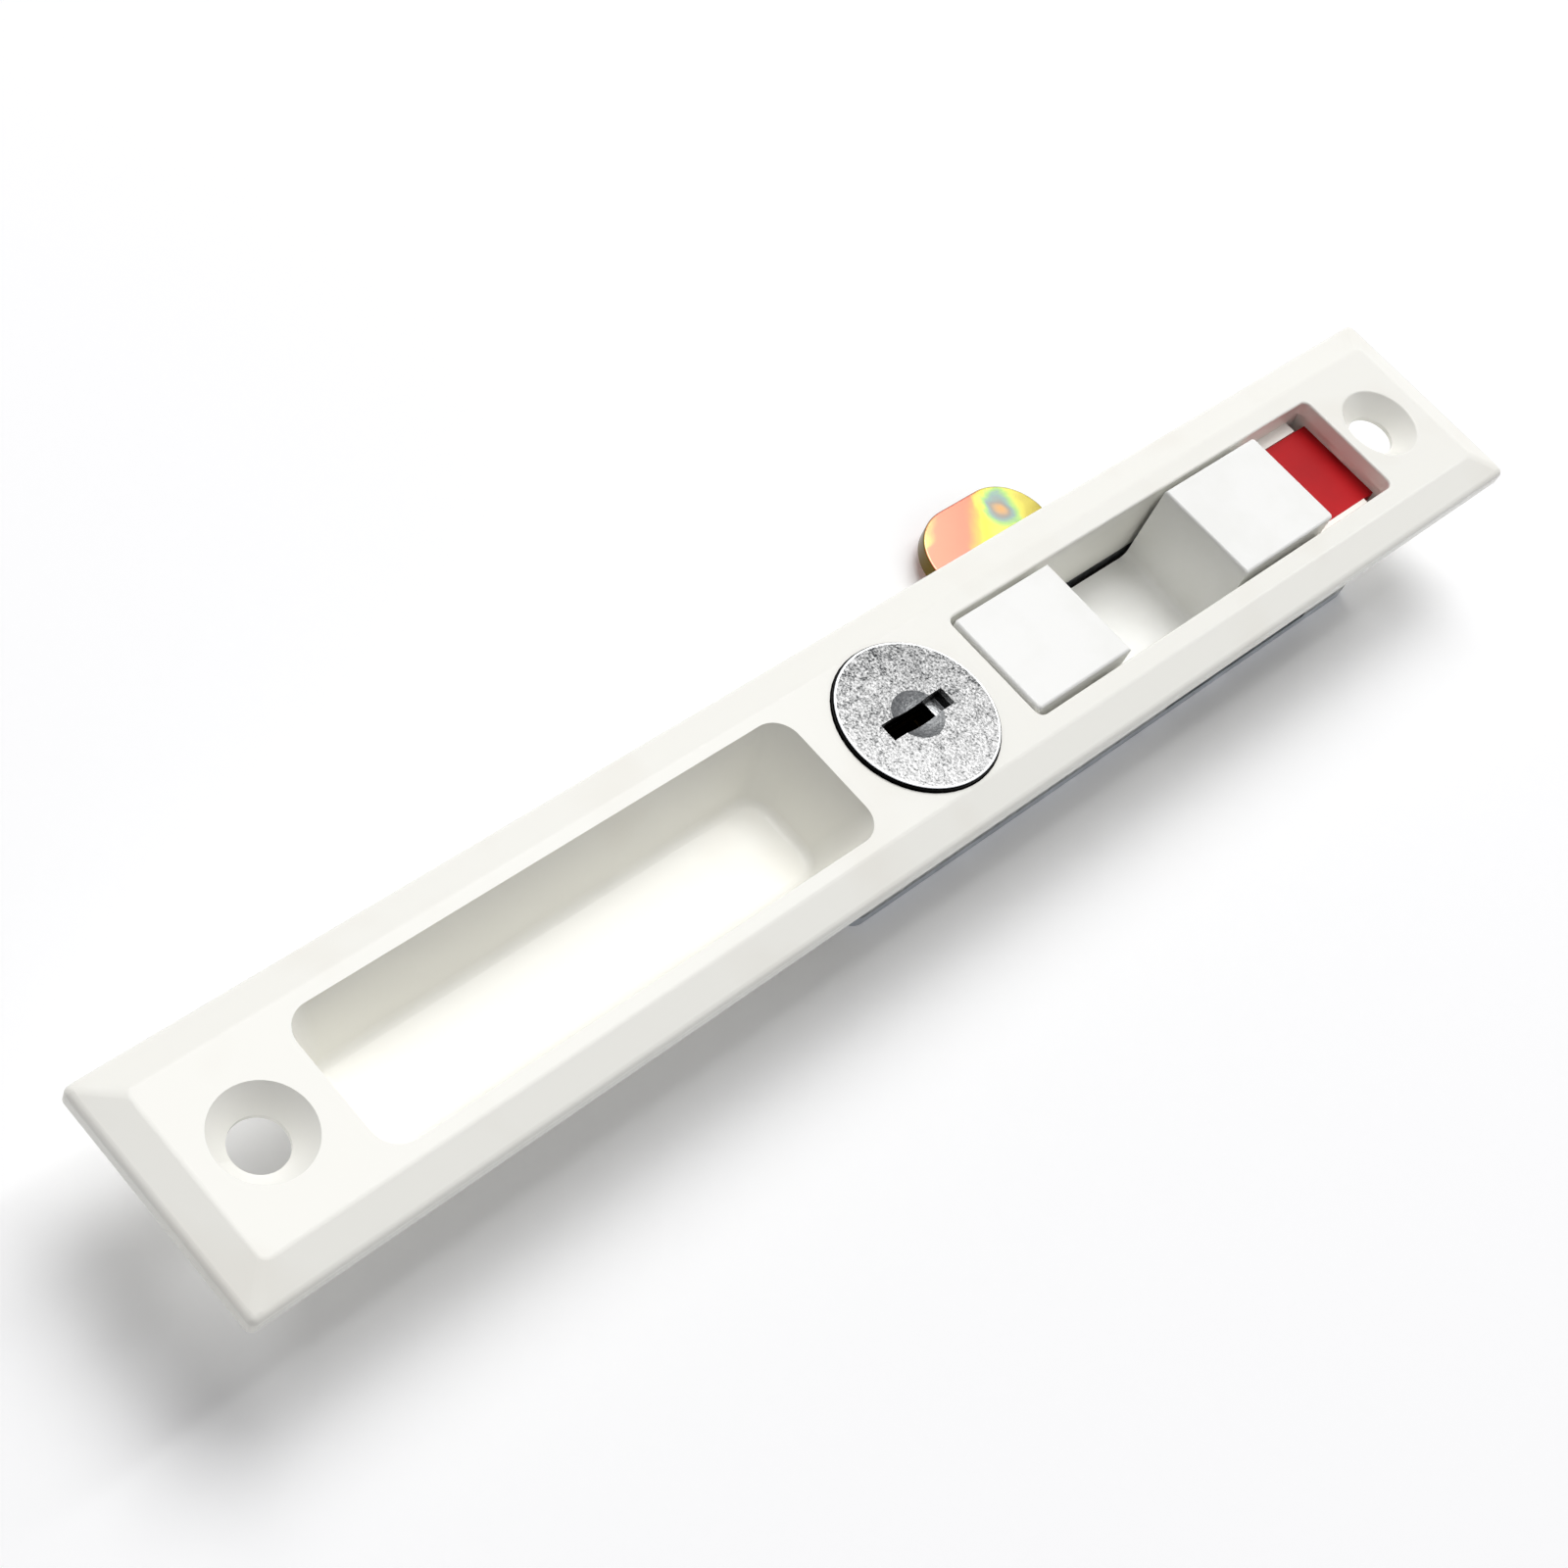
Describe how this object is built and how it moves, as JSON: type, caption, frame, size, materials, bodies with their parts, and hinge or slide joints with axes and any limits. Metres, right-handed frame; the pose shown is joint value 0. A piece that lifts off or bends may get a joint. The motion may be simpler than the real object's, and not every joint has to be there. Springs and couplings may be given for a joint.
{
  "type": "sliding door lock",
  "caption": "Flush sliding-door lock: bevelled face plate with a finger recess, a key cylinder and a thumb slider that swings a hook out of its side and uncovers a red indicator.",
  "frame": {"origin": "midway between the two fixing screws, on the back of the flange where it seats on the door stile", "axes": "+Z out of the face, +X along the plate towards the slider's end, +Y to the side where the hook comes out"},
  "size_m": [0.1924, 0.0382, 0.0195],
  "materials": {
    "white_powder_coat": "gloss powder coat",
    "white_plastic": "satin",
    "red_plastic": "satin",
    "cast_zinc": "fine as-cast zinc alloy",
    "yellow_passivated_steel": "zinc plate with iridescent yellow passivation",
    "plated_steel": "bright zinc plate",
    "spring_steel": "satin",
    "aluminium_rivet": "satin",
    "wafer_brass": "stamped"
  },
  "bodies": {
    "casing": {"face_plate": "white_powder_coat", "indicator_insert": "red_plastic", "back_cover": "plated_steel", "cover_screws": "plated_steel", "hook_pivot": "plated_steel", "hook_washer_lower": "plated_steel", "hook_washer_upper": "plated_steel", "cylinder_shell": "cast_zinc", "cylinder_clip": "spring_steel", "detent_spring": "spring_steel", "detent_rivet": "aluminium_rivet"},
    "slider": {"thumb_slider": "white_plastic", "slide_plate": "plated_steel", "slider_screws": "plated_steel", "drive_pin": "plated_steel"},
    "hook": {"hook": "yellow_passivated_steel"},
    "key_plug": {"cylinder_plug": "cast_zinc", "wafer_1": "wafer_brass", "wafer_2": "wafer_brass", "wafer_3": "wafer_brass", "wafer_4": "wafer_brass", "wafer_5": "wafer_brass", "wafer_springs": "spring_steel", "lock_cam": "plated_steel", "cam_washer": "plated_steel", "cam_screw": "plated_steel"}
  },
  "joints": [
    {"name": "slider_travel", "type": "slide", "parent": "casing", "child": "slider", "axis": [1, 0, 0], "range_m": [0, 0.0114]},
    {"name": "hook_turn", "type": "hinge", "parent": "casing", "child": "hook", "pos_m": [0.0417, -0.0025, -0.013], "axis": [0, 0, 1], "range_deg": [-90, 0]},
    {"name": "key_turn", "type": "hinge", "parent": "casing", "child": "key_plug", "pos_m": [0, 0, 0], "axis": [0, 0, 1], "range_deg": [0, 90]}
  ],
  "couplings": [
    {"joint": "hook_turn", "follows": "slider_travel", "rad_per_m": -137.79}
  ]
}
